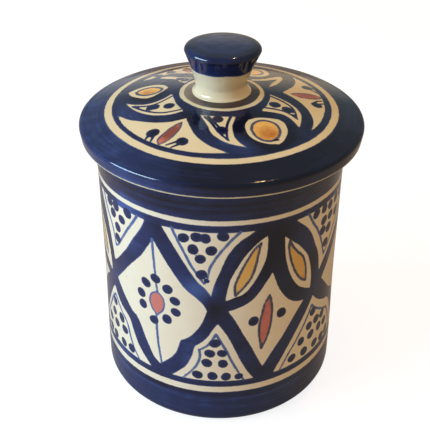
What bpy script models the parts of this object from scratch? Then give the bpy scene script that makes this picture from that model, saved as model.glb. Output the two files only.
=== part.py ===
"""A lidded preserving pot in painted, glazed earthenware: the pot, its overhanging lid and the lid's knob.

Metres, +Z up. The origin is the middle of the face that the pot stands on. Every piece was thrown on a
wheel, so each one is an outline turned about Z, written in the piece's own heights and radii.
"""

import math

import bmesh
import bpy

MM = 0.001

# The pot: one thrown piece with a floor, a wall and a thickened rim
POT_HEIGHT = 126.5 * MM
NECK_RADIUS = 55.0 * MM  # outside the wall, at the foot of the rim's flare
NECK_DROP = 15.0 * MM  # from the rim down to the neck
MIDDLE_HEIGHT_SHARE = 0.62  # of the way from the foot's round up to the neck
MIDDLE_SWELL = 0.15 * MM  # how far the wall stands out there, past the neck
BASE_SWELL = 1.4 * MM  # how far it stands out just over the foot
RIM_FLARE = 2.0 * MM  # how far it stands out at the rim
WALL = 6.0 * MM
FLOOR = 5.0 * MM
RIM_ROUND = 2.4 * MM
INNER_CORNER = 7.0 * MM  # the round where the floor turns up into the wall
FOOT_ROUND_WIDTH = 6.4 * MM
FOOT_ROUND_HEIGHT = 5.0 * MM
FOOT_RING_WIDTH = 8.0 * MM  # the dry ring that stands on the shelf
FOOT_RECESS = 2.0 * MM
FOOT_RECESS_SLOPE = 1.5 * MM

# The lid: one thrown plate with a rolled edge, and a locating flange under it
LID_OVERHANG = 4.9 * MM  # past the pot's rim
LID_EDGE_HEIGHT = 4.7 * MM  # from the seat up to the lid's widest place
LID_EDGE_TUCK = 0.6 * MM  # how far the lower edge lies inside the widest place
LID_EDGE_BREAK = 0.6 * MM  # the small round on the lower edge
LID_ROLL = 1.9 * MM  # the round from the widest place to the top
LID_CONE_RISE = 7.1 * MM  # the straight part of the climb from the roll to the knob
LID_BOW_RISE = 3.3 * MM  # what the top's bow adds to that climb
LID_PLATE = 6.5 * MM
FLANGE_DEPTH = 11.0 * MM
FLANGE_WALL = 4.5 * MM
FLANGE_TIP_ROUND = 2.0 * MM
FLANGE_FILLET = 1.5 * MM

# The knob: a solid piece, thrown by itself and stuck to the lid with slip
KNOB_FOOT_RADIUS = 12.7 * MM
KNOB_FOOT_EDGE = 0.2 * MM  # the upright edge under the foot's hollow curve
KNOB_WAIST_RADIUS = 11.0 * MM
KNOB_WAIST_HEIGHT = 3.8 * MM
KNOB_TOP_RADIUS = 16.3 * MM
KNOB_FLARE_HEIGHT = 14.6 * MM  # from the waist up to the widest place
KNOB_FLARE_BEND = 1.2  # 1 is a straight cone, and more curves it out towards the top
KNOB_EDGE_ROUND = 2.0 * MM
KNOB_CROWN = 0.5 * MM

# What lies between the pieces
REST_GAP = 0.3 * MM  # between a fired piece and the one that it rests on or is stuck to
FLANGE_CLEARANCE = 1.5 * MM  # between the lid's flange and the pot's mouth

# How finely the turned shapes are drawn
POT_SEGMENTS = 64
LID_SEGMENTS = 64
KNOB_SEGMENTS = 48
WALL_STEPS = 3  # in each of the wall's stretches between two measured places
ROUND_STEPS = 4
SLOPE_STEPS = 6
MERGE_DISTANCE = 0.01 * MM
SHARP_ANGLE = math.radians(35.0)

# The glazes, as linear colours
CREAM_GLAZE = (0.66, 0.62, 0.47)
COBALT_GLAZE = (0.018, 0.028, 0.105)
GLAZE_ROUGHNESS = 0.12

# Sizes that follow from the ones above
NECK_HEIGHT = POT_HEIGHT - NECK_DROP
MIDDLE_HEIGHT = FOOT_ROUND_HEIGHT + MIDDLE_HEIGHT_SHARE * (NECK_HEIGHT - FOOT_ROUND_HEIGHT)
BASE_RADIUS = NECK_RADIUS + BASE_SWELL
RIM_RADIUS = NECK_RADIUS + RIM_FLARE
MOUTH_RADIUS = NECK_RADIUS - WALL
FLOOR_TOP = FOOT_RECESS + FLOOR
FLANGE_RADIUS = MOUTH_RADIUS - FLANGE_CLEARANCE
FLANGE_BORE = FLANGE_RADIUS - FLANGE_WALL
LID_RADIUS = RIM_RADIUS + LID_OVERHANG
ROLL_CENTRE = LID_RADIUS - LID_ROLL
TOP_RUN = ROLL_CENTRE - KNOB_FOOT_RADIUS
TOP_ANGLE = math.atan2(LID_CONE_RISE + 2 * LID_BOW_RISE, TOP_RUN)  # the top's slope where the roll ends
KNOB_SEAT = LID_EDGE_HEIGHT + LID_ROLL * math.cos(TOP_ANGLE) + LID_CONE_RISE + LID_BOW_RISE


def stretch(start, end, steps):
    """Evenly spaced values from start to end, both of them included."""
    return [start + (end - start) * step / steps for step in range(steps + 1)]


def arc(centre, width, height, start, end):
    """An ellipse's arc about a centre, by an angle a in degrees: width times cos a, height times sin a."""
    turns = [math.radians(angle) for angle in stretch(start, end, ROUND_STEPS)]
    return [(centre[0] + width * math.cos(a), centre[1] + height * math.sin(a)) for a in turns]


def wall_radius(height):
    """The outside of the wall at a height, eased from one measured place to the next without a kink."""
    places = [
        (FOOT_ROUND_HEIGHT, BASE_RADIUS),
        (MIDDLE_HEIGHT, NECK_RADIUS + MIDDLE_SWELL),
        (NECK_HEIGHT, NECK_RADIUS),
        (POT_HEIGHT, RIM_RADIUS),
    ]
    for (low, low_radius), (high, high_radius) in zip(places, places[1:]):
        if height <= high:
            share = (height - low) / (high - low)
            return low_radius + (high_radius - low_radius) * share * share * (3 - 2 * share)
    return RIM_RADIUS


def wall_points(low, high, inset):
    """Points up a stretch of the wall from low to high, drawn in by the inset, without the last one."""
    return [(wall_radius(height) - inset, height) for height in stretch(low, high, WALL_STEPS)[:-1]]


def pot_outline():
    """From the middle of the floor up the inside, over the rim, down the outside and in under the foot."""
    corner_top = FLOOR_TOP + INNER_CORNER
    corner_centre = (wall_radius(corner_top) - WALL - INNER_CORNER, corner_top)
    rim_low = POT_HEIGHT - RIM_ROUND
    foot_centre = (BASE_RADIUS - FOOT_ROUND_WIDTH, FOOT_ROUND_HEIGHT)
    recess_edge = foot_centre[0] - FOOT_RING_WIDTH
    inside = wall_points(corner_top, MIDDLE_HEIGHT, WALL)[1:] + wall_points(MIDDLE_HEIGHT, NECK_HEIGHT, WALL)
    outside = (
        wall_points(FOOT_ROUND_HEIGHT, MIDDLE_HEIGHT, 0)[1:]
        + wall_points(MIDDLE_HEIGHT, NECK_HEIGHT, 0)
        + wall_points(NECK_HEIGHT, rim_low, 0)
    )
    return (
        [(0, FLOOR_TOP)]
        + arc(corner_centre, INNER_CORNER, INNER_CORNER, -90, 0)
        + inside
        + [(MOUTH_RADIUS, NECK_HEIGHT)]
        + arc((MOUTH_RADIUS + RIM_ROUND, rim_low), RIM_ROUND, RIM_ROUND, 180, 90)
        + arc((wall_radius(rim_low) - RIM_ROUND, rim_low), RIM_ROUND, RIM_ROUND, 90, 0)
        + outside[::-1]
        + arc(foot_centre, FOOT_ROUND_WIDTH, FOOT_ROUND_HEIGHT, 0, -90)
        + [(recess_edge, 0), (recess_edge - FOOT_RECESS_SLOPE, FOOT_RECESS), (0, FOOT_RECESS)]
    )


def lid_top(radius):
    """The lid's top over its seat: down from the knob by a cone and a bow, which is a parabola."""
    share = (radius - KNOB_FOOT_RADIUS) / TOP_RUN
    return KNOB_SEAT - LID_CONE_RISE * share - LID_BOW_RISE * share * share


def lid_outline():
    """From the middle of the hollow out, round the flange, out along the seat and in over the top."""
    hollow_edge = FLANGE_BORE - FLANGE_FILLET
    hollow = stretch(KNOB_FOOT_RADIUS, hollow_edge, SLOPE_STEPS)[:-1]
    slope = stretch(ROLL_CENTRE, KNOB_FOOT_RADIUS, SLOPE_STEPS)[1:]
    tip = FLANGE_TIP_ROUND - FLANGE_DEPTH
    edge = LID_RADIUS - LID_EDGE_TUCK - LID_EDGE_BREAK
    fillet_centre = (hollow_edge, lid_top(hollow_edge) - LID_PLATE - FLANGE_FILLET)
    return (
        [(0, KNOB_SEAT - LID_PLATE)]
        + [(radius, lid_top(radius) - LID_PLATE) for radius in hollow]
        + arc(fillet_centre, FLANGE_FILLET, FLANGE_FILLET, 90, 0)
        + arc((FLANGE_BORE + FLANGE_TIP_ROUND, tip), FLANGE_TIP_ROUND, FLANGE_TIP_ROUND, 180, 270)
        + arc((FLANGE_RADIUS - FLANGE_TIP_ROUND, tip), FLANGE_TIP_ROUND, FLANGE_TIP_ROUND, 270, 360)
        + [(FLANGE_RADIUS, 0), (RIM_RADIUS, 0)]
        + arc((edge, LID_EDGE_BREAK), LID_EDGE_BREAK, LID_EDGE_BREAK, 270, 360)
        + arc((ROLL_CENTRE, LID_EDGE_HEIGHT), LID_ROLL, LID_ROLL, 0, 90 - math.degrees(TOP_ANGLE))
        + [(radius, lid_top(radius)) for radius in slope]
        + [(0, KNOB_SEAT)]
    )


def knob_outline():
    """From the middle of the foot to its edge, up the hollow curve and the flare, and in over the top."""
    foot_centre = (KNOB_FOOT_RADIUS, KNOB_WAIST_HEIGHT)
    waist_draw = KNOB_FOOT_RADIUS - KNOB_WAIST_RADIUS
    flare_draw = KNOB_TOP_RADIUS - KNOB_WAIST_RADIUS
    widest = KNOB_WAIST_HEIGHT + KNOB_FLARE_HEIGHT
    shares = stretch(0, 1, SLOPE_STEPS)[1:-1]
    radii = [KNOB_WAIST_RADIUS + flare_draw * share**KNOB_FLARE_BEND for share in shares]
    heights = [KNOB_WAIST_HEIGHT + KNOB_FLARE_HEIGHT * share for share in shares]
    return (
        [(0, 0), (KNOB_FOOT_RADIUS, 0)]
        + arc(foot_centre, waist_draw, KNOB_WAIST_HEIGHT - KNOB_FOOT_EDGE, 270, 180)
        + list(zip(radii, heights))
        + arc((KNOB_TOP_RADIUS - KNOB_EDGE_ROUND, widest), KNOB_EDGE_ROUND, KNOB_EDGE_ROUND, 0, 90)
        + [(0, widest + KNOB_EDGE_ROUND + KNOB_CROWN)]
    )


def glaze(name, colour):
    """Fired glaze: a hard, glassy coat over the clay, with the painted colour in it."""
    material = bpy.data.materials.new(name)
    material.use_nodes = True
    shader = material.node_tree.nodes["Principled BSDF"]
    shader.inputs["Base Color"].default_value = (*colour, 1)
    shader.inputs["Roughness"].default_value = GLAZE_ROUGHNESS
    shader.inputs["Metallic"].default_value = 0
    return material


def turned(name, outline, segments, material):
    """A closed piece made by turning an outline once about Z. It starts and ends on the axis."""
    work = bmesh.new()
    points = [work.verts.new((radius, 0, height)) for radius, height in outline]
    lines = [work.edges.new(pair) for pair in zip(points, points[1:])]
    bmesh.ops.spin(
        work,
        geom=points + lines,
        cent=(0, 0, 0),
        axis=(0, 0, 1),
        angle=2 * math.pi,
        steps=segments,
        use_merge=True,
    )
    bmesh.ops.remove_doubles(work, verts=work.verts, dist=MERGE_DISTANCE)
    bmesh.ops.recalc_face_normals(work, faces=work.faces)
    mesh = bpy.data.meshes.new(name)
    work.to_mesh(mesh)
    work.free()
    mesh.materials.append(material)
    mesh.shade_smooth()
    mesh.set_sharp_from_angle(angle=SHARP_ANGLE)
    piece = bpy.data.objects.new(name, mesh)
    bpy.context.collection.objects.link(piece)
    return piece


for old in list(bpy.data.objects):
    bpy.data.objects.remove(old, do_unlink=True)

pot = turned("pot", pot_outline(), POT_SEGMENTS, glaze("cream_glaze_pot", CREAM_GLAZE))

# The lid's origin is the middle of its seat, and it lifts straight up from there
lid = turned("lid", lid_outline(), LID_SEGMENTS, glaze("cobalt_glaze_lid", COBALT_GLAZE))
lid.location.z = POT_HEIGHT + REST_GAP

lid_knob = turned("lid_knob", knob_outline(), KNOB_SEGMENTS, glaze("cobalt_glaze_knob", COBALT_GLAZE))
lid_knob.parent = lid
lid_knob.location.z = KNOB_SEAT + REST_GAP
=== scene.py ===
import math

import bpy
import numpy as np
from mathutils import Matrix


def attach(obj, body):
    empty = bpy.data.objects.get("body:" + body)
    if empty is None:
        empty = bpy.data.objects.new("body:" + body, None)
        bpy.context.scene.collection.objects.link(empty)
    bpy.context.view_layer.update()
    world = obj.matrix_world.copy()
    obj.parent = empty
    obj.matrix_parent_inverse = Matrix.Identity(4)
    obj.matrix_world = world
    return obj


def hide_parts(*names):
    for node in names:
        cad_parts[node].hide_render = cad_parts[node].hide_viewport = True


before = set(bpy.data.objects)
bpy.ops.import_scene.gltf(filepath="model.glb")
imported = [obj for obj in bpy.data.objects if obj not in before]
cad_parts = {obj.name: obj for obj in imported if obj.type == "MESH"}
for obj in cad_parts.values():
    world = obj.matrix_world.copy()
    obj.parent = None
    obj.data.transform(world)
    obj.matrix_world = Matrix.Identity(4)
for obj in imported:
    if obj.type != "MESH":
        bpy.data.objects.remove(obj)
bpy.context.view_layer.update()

# The pot: buff clay thrown on a wheel in one piece, with a floor, an upright wall and a slightly flared rim.
# It was dipped in a white tin glaze, painted with a brush in cobalt, iron and ochre, and fired again, so the
# paint lies in a hard glassy coat. The foot was wiped, so the ring that it stands on is dry clay.
MM = 0.001
POT_COLUMNS = 448
NECK, RIM_TOP = 111.5, 126.5
WALL_PLACES = np.array([(5.0, 56.4), (71.03, 55.15), (NECK, 55.0), (RIM_TOP, 57.0)])  # height, radius in mm
WALL = 6.0
MOUTH, MOUTH_LOW = 49.0, NECK - 4
RIM_ROUND = 2.4
RIM_LOW = RIM_TOP - RIM_ROUND
PATTERN_LOW, PATTERN_HIGH = 19, 113  # the stretch of the wall with the closest rows
FLOOR_TOP = 7.0
INNER_ROUND = 7.0
FOOT_WIDTH, FOOT_HEIGHT = 6.4, 5.0
FOOT_RING = 8.0
RECESS, RECESS_SLOPE = 2.0, 1.5


def wall_radius(height):
    """Radius of the wall's outside: from one measured place to the next by 3 t^2 - 2 t^3, without a kink."""
    low = (np.searchsorted(WALL_PLACES[:, 0], height, side="right") - 1).clip(0, len(WALL_PLACES) - 2)
    here, above = WALL_PLACES[low], WALL_PLACES[low + 1]
    t = ((height - here[..., 0]) / (above[..., 0] - here[..., 0])).clip(0, 1)
    return here[..., 1] + (above[..., 1] - here[..., 1]) * t * t * (3 - 2 * t)


def arc(centre, width, height, start, end, steps):
    """An ellipse's arc: at the angle a it is the centre plus width times cos a and height times sin a."""
    turn = np.radians(np.linspace(start, end, steps + 1))
    return np.stack([centre[0] + width * np.cos(turn), centre[1] + height * np.sin(turn)], 1)


def straight(start, end, steps):
    """Even steps from one point of a profile to another, without the two ends."""
    share = np.linspace(0, 1, steps + 1)[1:-1, None]
    return np.asarray(start) + (np.asarray(end) - start) * share


def upright(low, high, inset, steps):
    """Even heights on the wall from low to high, at its outside radius less the inset, without the last."""
    height = np.linspace(low, high, steps + 1)[:-1]
    return np.stack([wall_radius(height) - inset, height], 1)


def turned(name, profile, columns, start, end, aside=0.0):
    """A profile of radii and heights turned about Z: at the angle a, a point is (aside + r sin a,
    -r cos a, z). Aside is one length, or one for each point of the profile.

    Start and end are the heights at which the surface closes on its axis. Returns the piece and, for each of
    its points, the angle from the front, the radius, the height and the way gone along the profile, in mm.
    """
    angle = np.arange(columns) * (2 * math.pi / columns) - math.pi
    radius, height = profile[:, :1], profile[:, 1:]
    aside = np.broadcast_to(np.reshape(aside, (-1, 1)), radius.shape)
    grid = np.stack(np.broadcast_arrays(aside + radius * np.sin(angle), -radius * np.cos(angle), height), -1)
    points = np.vstack([grid.reshape(-1, 3), [(aside[0, 0], 0, start), (aside[-1, 0], 0, end)]]) * MM
    here = np.arange(len(profile) * columns).reshape(len(profile), columns)
    beside = np.roll(here, -1, 1)
    quads = np.stack([here[:-1], here[1:], beside[1:], beside[:-1]], -1).reshape(-1, 4)
    first, last = np.full(columns, here.size), np.full(columns, here.size + 1)
    fans = np.vstack([np.stack([first, here[0], beside[0]], 1), np.stack([here[-1], last, beside[-1]], 1)])
    mesh = bpy.data.meshes.new(name)
    mesh.from_pydata(points.tolist(), [], quads.tolist() + fans.tolist())
    mesh.shade_smooth()
    piece = bpy.data.objects.new(name, mesh)
    bpy.context.scene.collection.objects.link(piece)
    way = np.append(0, np.cumsum(np.hypot(*np.diff(profile, axis=0).T)))[:, None]
    columned = [np.broadcast_to(each, here.shape).ravel() for each in (angle, radius, height, way)]
    closing = [(0, 0), (0, 0), (start, end), (0, way[-1, 0])]
    return piece, [np.append(each, pair) for each, pair in zip(columned, closing)]


inner_centre = (float(wall_radius(FLOOR_TOP + INNER_ROUND)) - WALL - INNER_ROUND, FLOOR_TOP + INNER_ROUND)
foot_centre = (WALL_PLACES[0, 1] - FOOT_WIDTH, FOOT_HEIGHT)
ring_inside = foot_centre[0] - FOOT_RING
pot_profile = np.vstack([
    straight((0, FLOOR_TOP), (inner_centre[0], FLOOR_TOP), 9),
    arc(inner_centre, INNER_ROUND, INNER_ROUND, -90, 0, 6),
    upright(inner_centre[1], NECK, WALL, 12)[1:],
    straight((MOUTH, MOUTH_LOW), (MOUTH, RIM_LOW), 5),
    arc((MOUTH + RIM_ROUND, RIM_LOW), RIM_ROUND, RIM_ROUND, 180, 90, 5),
    arc((float(wall_radius(RIM_LOW)) - RIM_ROUND, RIM_LOW), RIM_ROUND, RIM_ROUND, 90, 0, 6),
    upright(RIM_LOW, PATTERN_HIGH, 0, 10)[1:],
    upright(PATTERN_HIGH, PATTERN_LOW, 0, 122),
    upright(PATTERN_LOW, FOOT_HEIGHT, 0, 9),
    arc(foot_centre, FOOT_WIDTH, FOOT_HEIGHT, 0, -90, 8),
    straight((foot_centre[0], 0), (ring_inside, 0), 3),
    [(ring_inside, 0), (ring_inside - RECESS_SLOPE, RECESS)],
    straight((ring_inside - RECESS_SLOPE, RECESS), (0, RECESS), 6),
])
pot, (pot_angle, pot_radius, pot_height, pot_way) = turned(
    "painted_pot", pot_profile, POT_COLUMNS, FLOOR_TOP, RECESS)

# The painting goes round the wall. A lattice was drawn with a full broad brush, whose openings stay white,
# then thin lines, dots from the brush's tip, and red and ochre leaves. Each paint is kept as its depth in mm:
# how far a place on the wall lies inside the shapes painted with it.
GIRTH = 55.2  # radius at which an angle on the wall is turned to mm
PAINTS = ("line", "edge", "dark", "red", "ochre", "umber")
FAR = 3.0
LINE_HALF, STEM_HALF = (0.7, 0.55), (0.65, 0.5)  # half widths at a stroke's start and end
DOT, DOT_SPREAD, DOT_LEAN, DOT_TAPER = 2.35, 0.12, 0.12, 0.95
hand = np.random.default_rng(7)


def eased_line(points, steps=6):
    """A brush's way through given points: cubics, with a slope at a point of half the way between its
    neighbours."""
    p = np.asarray(points, float)
    p = np.vstack([2 * p[0] - p[1], p, 2 * p[-1] - p[-2]])
    a, b, c, d = p[:-3], p[1:-2], p[2:-1], p[3:]
    t = np.linspace(0, 1, steps, endpoint=False)[:, None, None]
    spans = b + (c - a) * t / 2 + (2 * a - 5 * b + 4 * c - d) * t**2 / 2 + (3 * b - a - 3 * c + d) * t**3 / 2
    return np.vstack([spans.transpose(1, 0, 2).reshape(-1, 2), p[-2:-1]])


def outline(sides):
    """A closed outline of eased sides. A side starts in the corner where the side before it ends."""
    corners = [sides[-1][-1]] + [side[-1] for side in sides[:-1]]
    return np.vstack([eased_line([corner, *side])[:-1] for corner, side in zip(corners, sides)])


def in_outline(at, edge):
    """Depth in a closed outline: the distance to its nearest edge, and less than nothing outside, where a
    level ray from the place crosses the outline an even number of times."""
    along = np.roll(edge, -1, 0) - edge
    out = at[:, None] - edge
    share = ((out * along).sum(2) / (along**2).sum(1).clip(1e-9)).clip(0, 1)
    near = np.linalg.norm(out - share[..., None] * along, axis=2).min(1)
    spans = (edge[:, 1] > at[:, 1:]) != (edge[:, 1] + along[:, 1] > at[:, 1:])
    beyond = (out[..., 0] * along[:, 1] < out[..., 1] * along[:, 0]) == (along[:, 1] > 0)
    return np.where((spans & beyond).sum(1) % 2 == 1, near, -near)


def in_stroke(at, path, start, end):
    """Depth in a stroke: its half width, which goes evenly from start to end, less the way to its path."""
    along = np.diff(path, axis=0)
    out = at[:, None] - path[:-1]
    share = ((out * along).sum(2) / (along**2).sum(1).clip(1e-9)).clip(0, 1)
    half = start + (end - start) * (np.arange(len(along)) + share) / len(along)
    return (half - np.linalg.norm(out - share[..., None] * along, axis=2)).max(1)


class Painting:
    """The paints on one surface, each a depth in mm at each place. A place is two lengths in mm."""

    def __init__(self, at, lap):
        self.at, self.lap = at, lap
        self.depth = {paint: np.full(len(at), -FAR) for paint in ("white", *PAINTS)}

    def put(self, paint, shape, depth_in, *sizes):
        """Keeps the greater depth near a shape, counted from its middle so that it can cross the seam."""
        middle = shape.mean(0)
        near = self.at - middle
        near[:, 0] -= self.lap * np.round(near[:, 0] / self.lap)
        close = (np.abs(near) < np.abs(shape - middle).max(0) + FAR).all(1)
        held = self.depth[paint]
        held[close] = np.maximum(held[close], depth_in(near[close], shape - middle, *sizes))

    def draw(self, place, whites=(), lines=(), stems=(), dots=(), leaves=()):
        """Paints a group of shapes, whose points place() puts on the surface.

        Whites are the lattice's openings, lines are thin and blue, stems are thin and dark, dots are (x, y)
        or (x, y, radius), and leaves are (paint, the paint of their edge, half the edge's width, sides).
        """
        for sides in whites:
            self.put("white", place(outline(sides)), in_outline)
        for points in lines:
            self.put("line", place(eased_line(points)), in_stroke, *LINE_HALF)
        for points in stems:
            self.put("dark", place(eased_line(points)), in_stroke, *STEM_HALF)
        for dot in dots:
            middle = place(np.array([dot[:2]], float))
            size = (dot[2] if len(dot) > 2 else DOT) + hand.uniform(-DOT_SPREAD, DOT_SPREAD)
            lean = hand.uniform(0, math.pi)
            push = np.array([(math.cos(lean), math.sin(lean))]) * size * DOT_LEAN
            self.put("dark", np.vstack([middle - push, middle + push]), in_stroke, size, size * DOT_TAPER)
        for paint, edge_paint, half, sides in leaves:
            edge = place(outline(sides))
            self.put(paint, edge, in_outline)
            self.put(edge_paint, np.vstack([edge, edge[:1]]), in_stroke, half, half)


# Points are degrees from the front and heights in mm. A pair of openings, one with a flower and one with a
# red leaf, goes round three times. TURNS gives, for each time, the angles of the pair's first knot, first
# corner, middle knot and last knot. The hand wavers more each time, by up to so many degrees and mm.
TURNS = ((-59.5, -56.3, -2, 49), (49, 55.5, 115.6, 174.8), (174.8, 178.5, 241.5, 300.5))
WAVER_ALONG, WAVER_UP = 0.35, 0.45
rim_way = pot_way[(pot_radius > 56) & (pot_height > RIM_LOW)].min()
outside = np.where(pot_way > rim_way, pot_height, -999)
wall = Painting(np.stack([pot_angle * GIRTH, outside], 1), 2 * math.pi * GIRTH)


def on_wall(turn):
    """Puts a pair's points on the wall: straight between the knots, plus a sine of the hand's slow waver."""
    def place(points):
        angle = np.interp(points[:, 0], TURNS[0], TURNS[turn])
        angle = angle + turn * WAVER_ALONG * np.sin(points[:, 1] / 11 + turn)
        height = points[:, 1] + turn * WAVER_UP * np.sin(points[:, 0] / 9 + 2 * turn)
        return np.stack([np.radians(angle) * GIRTH, height], 1)
    return place


def by_knot(knot, stretch):
    """Puts shapes that were set about the first knot at another one, with their angles stretched about it."""
    def place(points):
        angle = knot + (points[:, 0] - TURNS[0][0]) * stretch
        return np.stack([np.radians(angle) * GIRTH, points[:, 1]], 1)
    return place


for turn in range(3):
    # The opening with the flower
    wall.draw(
        on_wall(turn),
        whites=[[
            [(-24.5, 90), (-20, 83.5), (-15.5, 77.5), (-10, 73), (-7, 69.5), (-5.8, 66.8)],
            [(-7.5, 61.5), (-10, 56.5), (-13, 52.5), (-15.5, 50.2), (-17.5, 49.2)],
            [(-18.4, 47.5), (-20, 42), (-22, 38.5), (-24.5, 35.5), (-28.9, 31.4)],
            [(-32, 34), (-34.5, 38.5), (-37, 43.5), (-39, 48), (-41, 51.5), (-42.5, 53.2)],
            [(-44.8, 54), (-48, 57), (-52, 61.5), (-56.2, 66.5)],
            [(-54, 69), (-50, 73.5), (-45, 79.5), (-40.5, 84.5), (-37, 88.5), (-33.5, 94), (-30.2, 98.8)],
        ]],
        lines=[
            [(-30.8, 99), (-30.5, 92), (-30, 84), (-29.5, 76), (-29, 71.5)],
            [(-30.3, 58), (-29.7, 45), (-28.8, 38), (-28, 32)],
        ],
        dots=[(-29.9, 78.9), (-23.8, 75.2), (-20.5, 69.7), (-20.2, 63.7), (-24.6, 58.6), (-31.5, 55.7),
              (-37.6, 62), (-38.3, 68), (-35.3, 74.8), (-48.3, 71.6, 0.35)],
        leaves=[("red", "line", 0.85, [
            [(-26.9, 69.5), (-26.2, 66), (-27.3, 62.4), (-29.9, 59.6)],
            [(-32.2, 62.8), (-33, 66.3), (-31.9, 69.8), (-29.2, 71.6)],
        ])],
    )
    # The dotted triangles over and under the middle knot
    wall.draw(
        on_wall(turn),
        whites=[
            [
                [(14.8, 107.1)],
                [(8, 102.5), (3.5, 97), (1.5, 92.5), (0, 88.5), (-2, 83), (-3.2, 79), (-4, 75.2)],
                [(-6.5, 79), (-10, 82.5), (-15, 90), (-21.5, 100.5), (-25.8, 107.1)],
            ],
            [
                [(3, 54), (6, 47.5), (9, 40), (12, 33.5), (15.7, 27.2)],
                [(-22.5, 27.2)],
                [(-18.5, 31), (-15.5, 34.5), (-13.8, 38), (-12.5, 41.5), (-11.8, 45), (-11, 47)],
                [(-8.5, 49), (-5.5, 52.5), (-3, 57), (-1, 60.2)],
            ],
        ],
        lines=[
            [(-21, 107.4), (-18.5, 102), (-15, 95), (-12.5, 90), (-10, 86), (-7, 81.5)],
            [(8.5, 107.4), (5, 104), (1, 99), (-2, 94.5), (-4.5, 89.5), (-5.8, 83.5), (-6.8, 81.5)],
            [(-1.7, 54.3), (-4.5, 49), (-7, 46.5), (-9.3, 45)],
            [(-9.3, 45), (-9, 42), (-9.5, 38.5), (-11, 35), (-13, 32), (-17, 27)],
            [(-1.7, 54.3), (1, 49), (3, 45), (5, 40), (7, 35.5), (9, 31.5), (11.2, 27)],
        ],
        dots=[(-15.7, 103.5), (-10, 104.6), (-6.3, 104.3), (1, 105.5), (-11.7, 98.5), (-3.8, 98.5),
              (-8.5, 94), (-8, 86.2), (-5.8, 83, 1.2), (-2, 49.2), (-4.6, 43.3), (1, 43.5, 2.1), (-5.9, 37.7),
              (1.5, 37.5), (-10.3, 30.2), (-3.3, 30.1), (3, 29.8), (9, 29.5, 1.9)],
    )
    # The two leaf-shaped openings that lean apart, and the opening with the red leaf under them
    wall.draw(
        on_wall(turn),
        whites=[
            [
                [(15.5, 100.5), (10.5, 95), (7.5, 90), (5, 85), (3.5, 80), (2.8, 76), (2.3, 72.5)],
                [(4.5, 73.5), (7, 74.5), (10, 75.7), (12.5, 78), (15.5, 82.5), (18, 87.5), (20, 93),
                 (20.5, 100), (20.2, 103.8)],
            ],
            [
                [(29, 97), (29.5, 92), (30.5, 87), (32.5, 81), (35, 76), (38, 72), (42, 69), (46, 66.8)],
                [(46.3, 69), (46.2, 74), (45, 80), (43, 85.5), (40, 90), (36, 94.5), (31.5, 98.5),
                 (28.7, 101)],
            ],
            [
                [(20.5, 80), (17.5, 75.5), (14.5, 72), (11, 69.7), (7, 68), (3.7, 67)],
                [(7, 61.5), (10.5, 54), (14.5, 46), (17.5, 39), (20.2, 33)],
                [(25, 40.5), (30, 47), (35, 54), (39, 59), (42.3, 62.2)],
                [(40, 62.7), (36.5, 64), (33, 66.5), (30, 70), (27, 75), (25, 80), (23.5, 84.6)],
            ],
        ],
        dots=[(15.3, 60.2), (29, 61)],
        leaves=[
            ("ochre", "edge", 0.6, [
                [(14.5, 98), (11, 92), (8.5, 86.5), (6.5, 80.5), (6.7, 75.2)],
                [(7.8, 76.5), (10.5, 79.5), (13.5, 84), (15.3, 89.5), (16.3, 95), (17.5, 100.8)],
            ]),
            ("ochre", "edge", 0.6, [
                [(31, 95.5), (32, 90), (34, 84), (36.5, 79), (39.5, 75), (42.4, 73)],
                [(42.3, 77), (41.5, 82), (39.5, 87), (36, 91), (33, 95), (31.5, 98.5)],
            ]),
            ("red", "edge", 0.6, [
                [(20.5, 69), (19.3, 64), (18.3, 59), (18, 53), (18.5, 49), (19.3, 43.7)],
                [(21.8, 49), (23, 53.5), (23.8, 58), (24, 64), (23.5, 69.5), (22.5, 72.7)],
            ]),
        ],
    )
# The dotted triangles over and under the knots where one pair ends and the next begins
for knot, stretch in ((TURNS[0][0], 1), (TURNS[2][0], 1.12)):
    wall.draw(
        by_knot(knot, stretch),
        whites=[
            [
                [(-34.3, 107.2)],
                [(-37.5, 101), (-42.5, 94), (-46, 88.5), (-50, 83.5), (-54, 78.8), (-57.7, 75.5)],
                [(-59, 82), (-61, 89), (-64, 97), (-67, 102.5), (-70, 107.2)],
            ],
            [
                [(-57, 55), (-53, 51.5), (-49, 49.5), (-47, 47.5)],
                [(-45.5, 44), (-43.5, 39.5), (-40.5, 34.5), (-37, 30.5), (-34, 27.2)],
                [(-84, 27.2)],
                [(-79, 31.5), (-74, 37.5), (-70, 44), (-66, 51), (-63, 56), (-60.3, 59.5)],
            ],
        ],
        lines=[
            [(-38.5, 107.4), (-41, 103.5), (-44, 99.5), (-47.5, 94.5), (-50.5, 90), (-52.5, 87),
             (-55.5, 84.5)],
            [(-65.5, 107.4), (-62, 100), (-58.5, 95), (-56.5, 90), (-55.5, 84.5)],
            [(-60, 54.5), (-54.5, 48.5), (-50.5, 45), (-49, 42.5)],
            [(-49, 42.5), (-48, 39), (-46.5, 35), (-44.5, 31), (-41.5, 27)],
            [(-60, 54.5), (-63, 51.5), (-66, 46.5), (-70, 40), (-74, 34.5), (-79.5, 27)],
        ],
        dots=[(-44.7, 106.2), (-53.2, 106), (-58.8, 105.8), (-49, 100.9), (-56, 101.2), (-52.8, 95.4),
              (-53.4, 89.5), (-61, 50), (-62.5, 43), (-54.7, 44), (-68, 36.5), (-60, 37.5), (-52, 38.5),
              (-74.5, 29.5), (-68, 29.8), (-61.8, 29.5), (-53.5, 30), (-47, 30.5)],
    )
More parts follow.
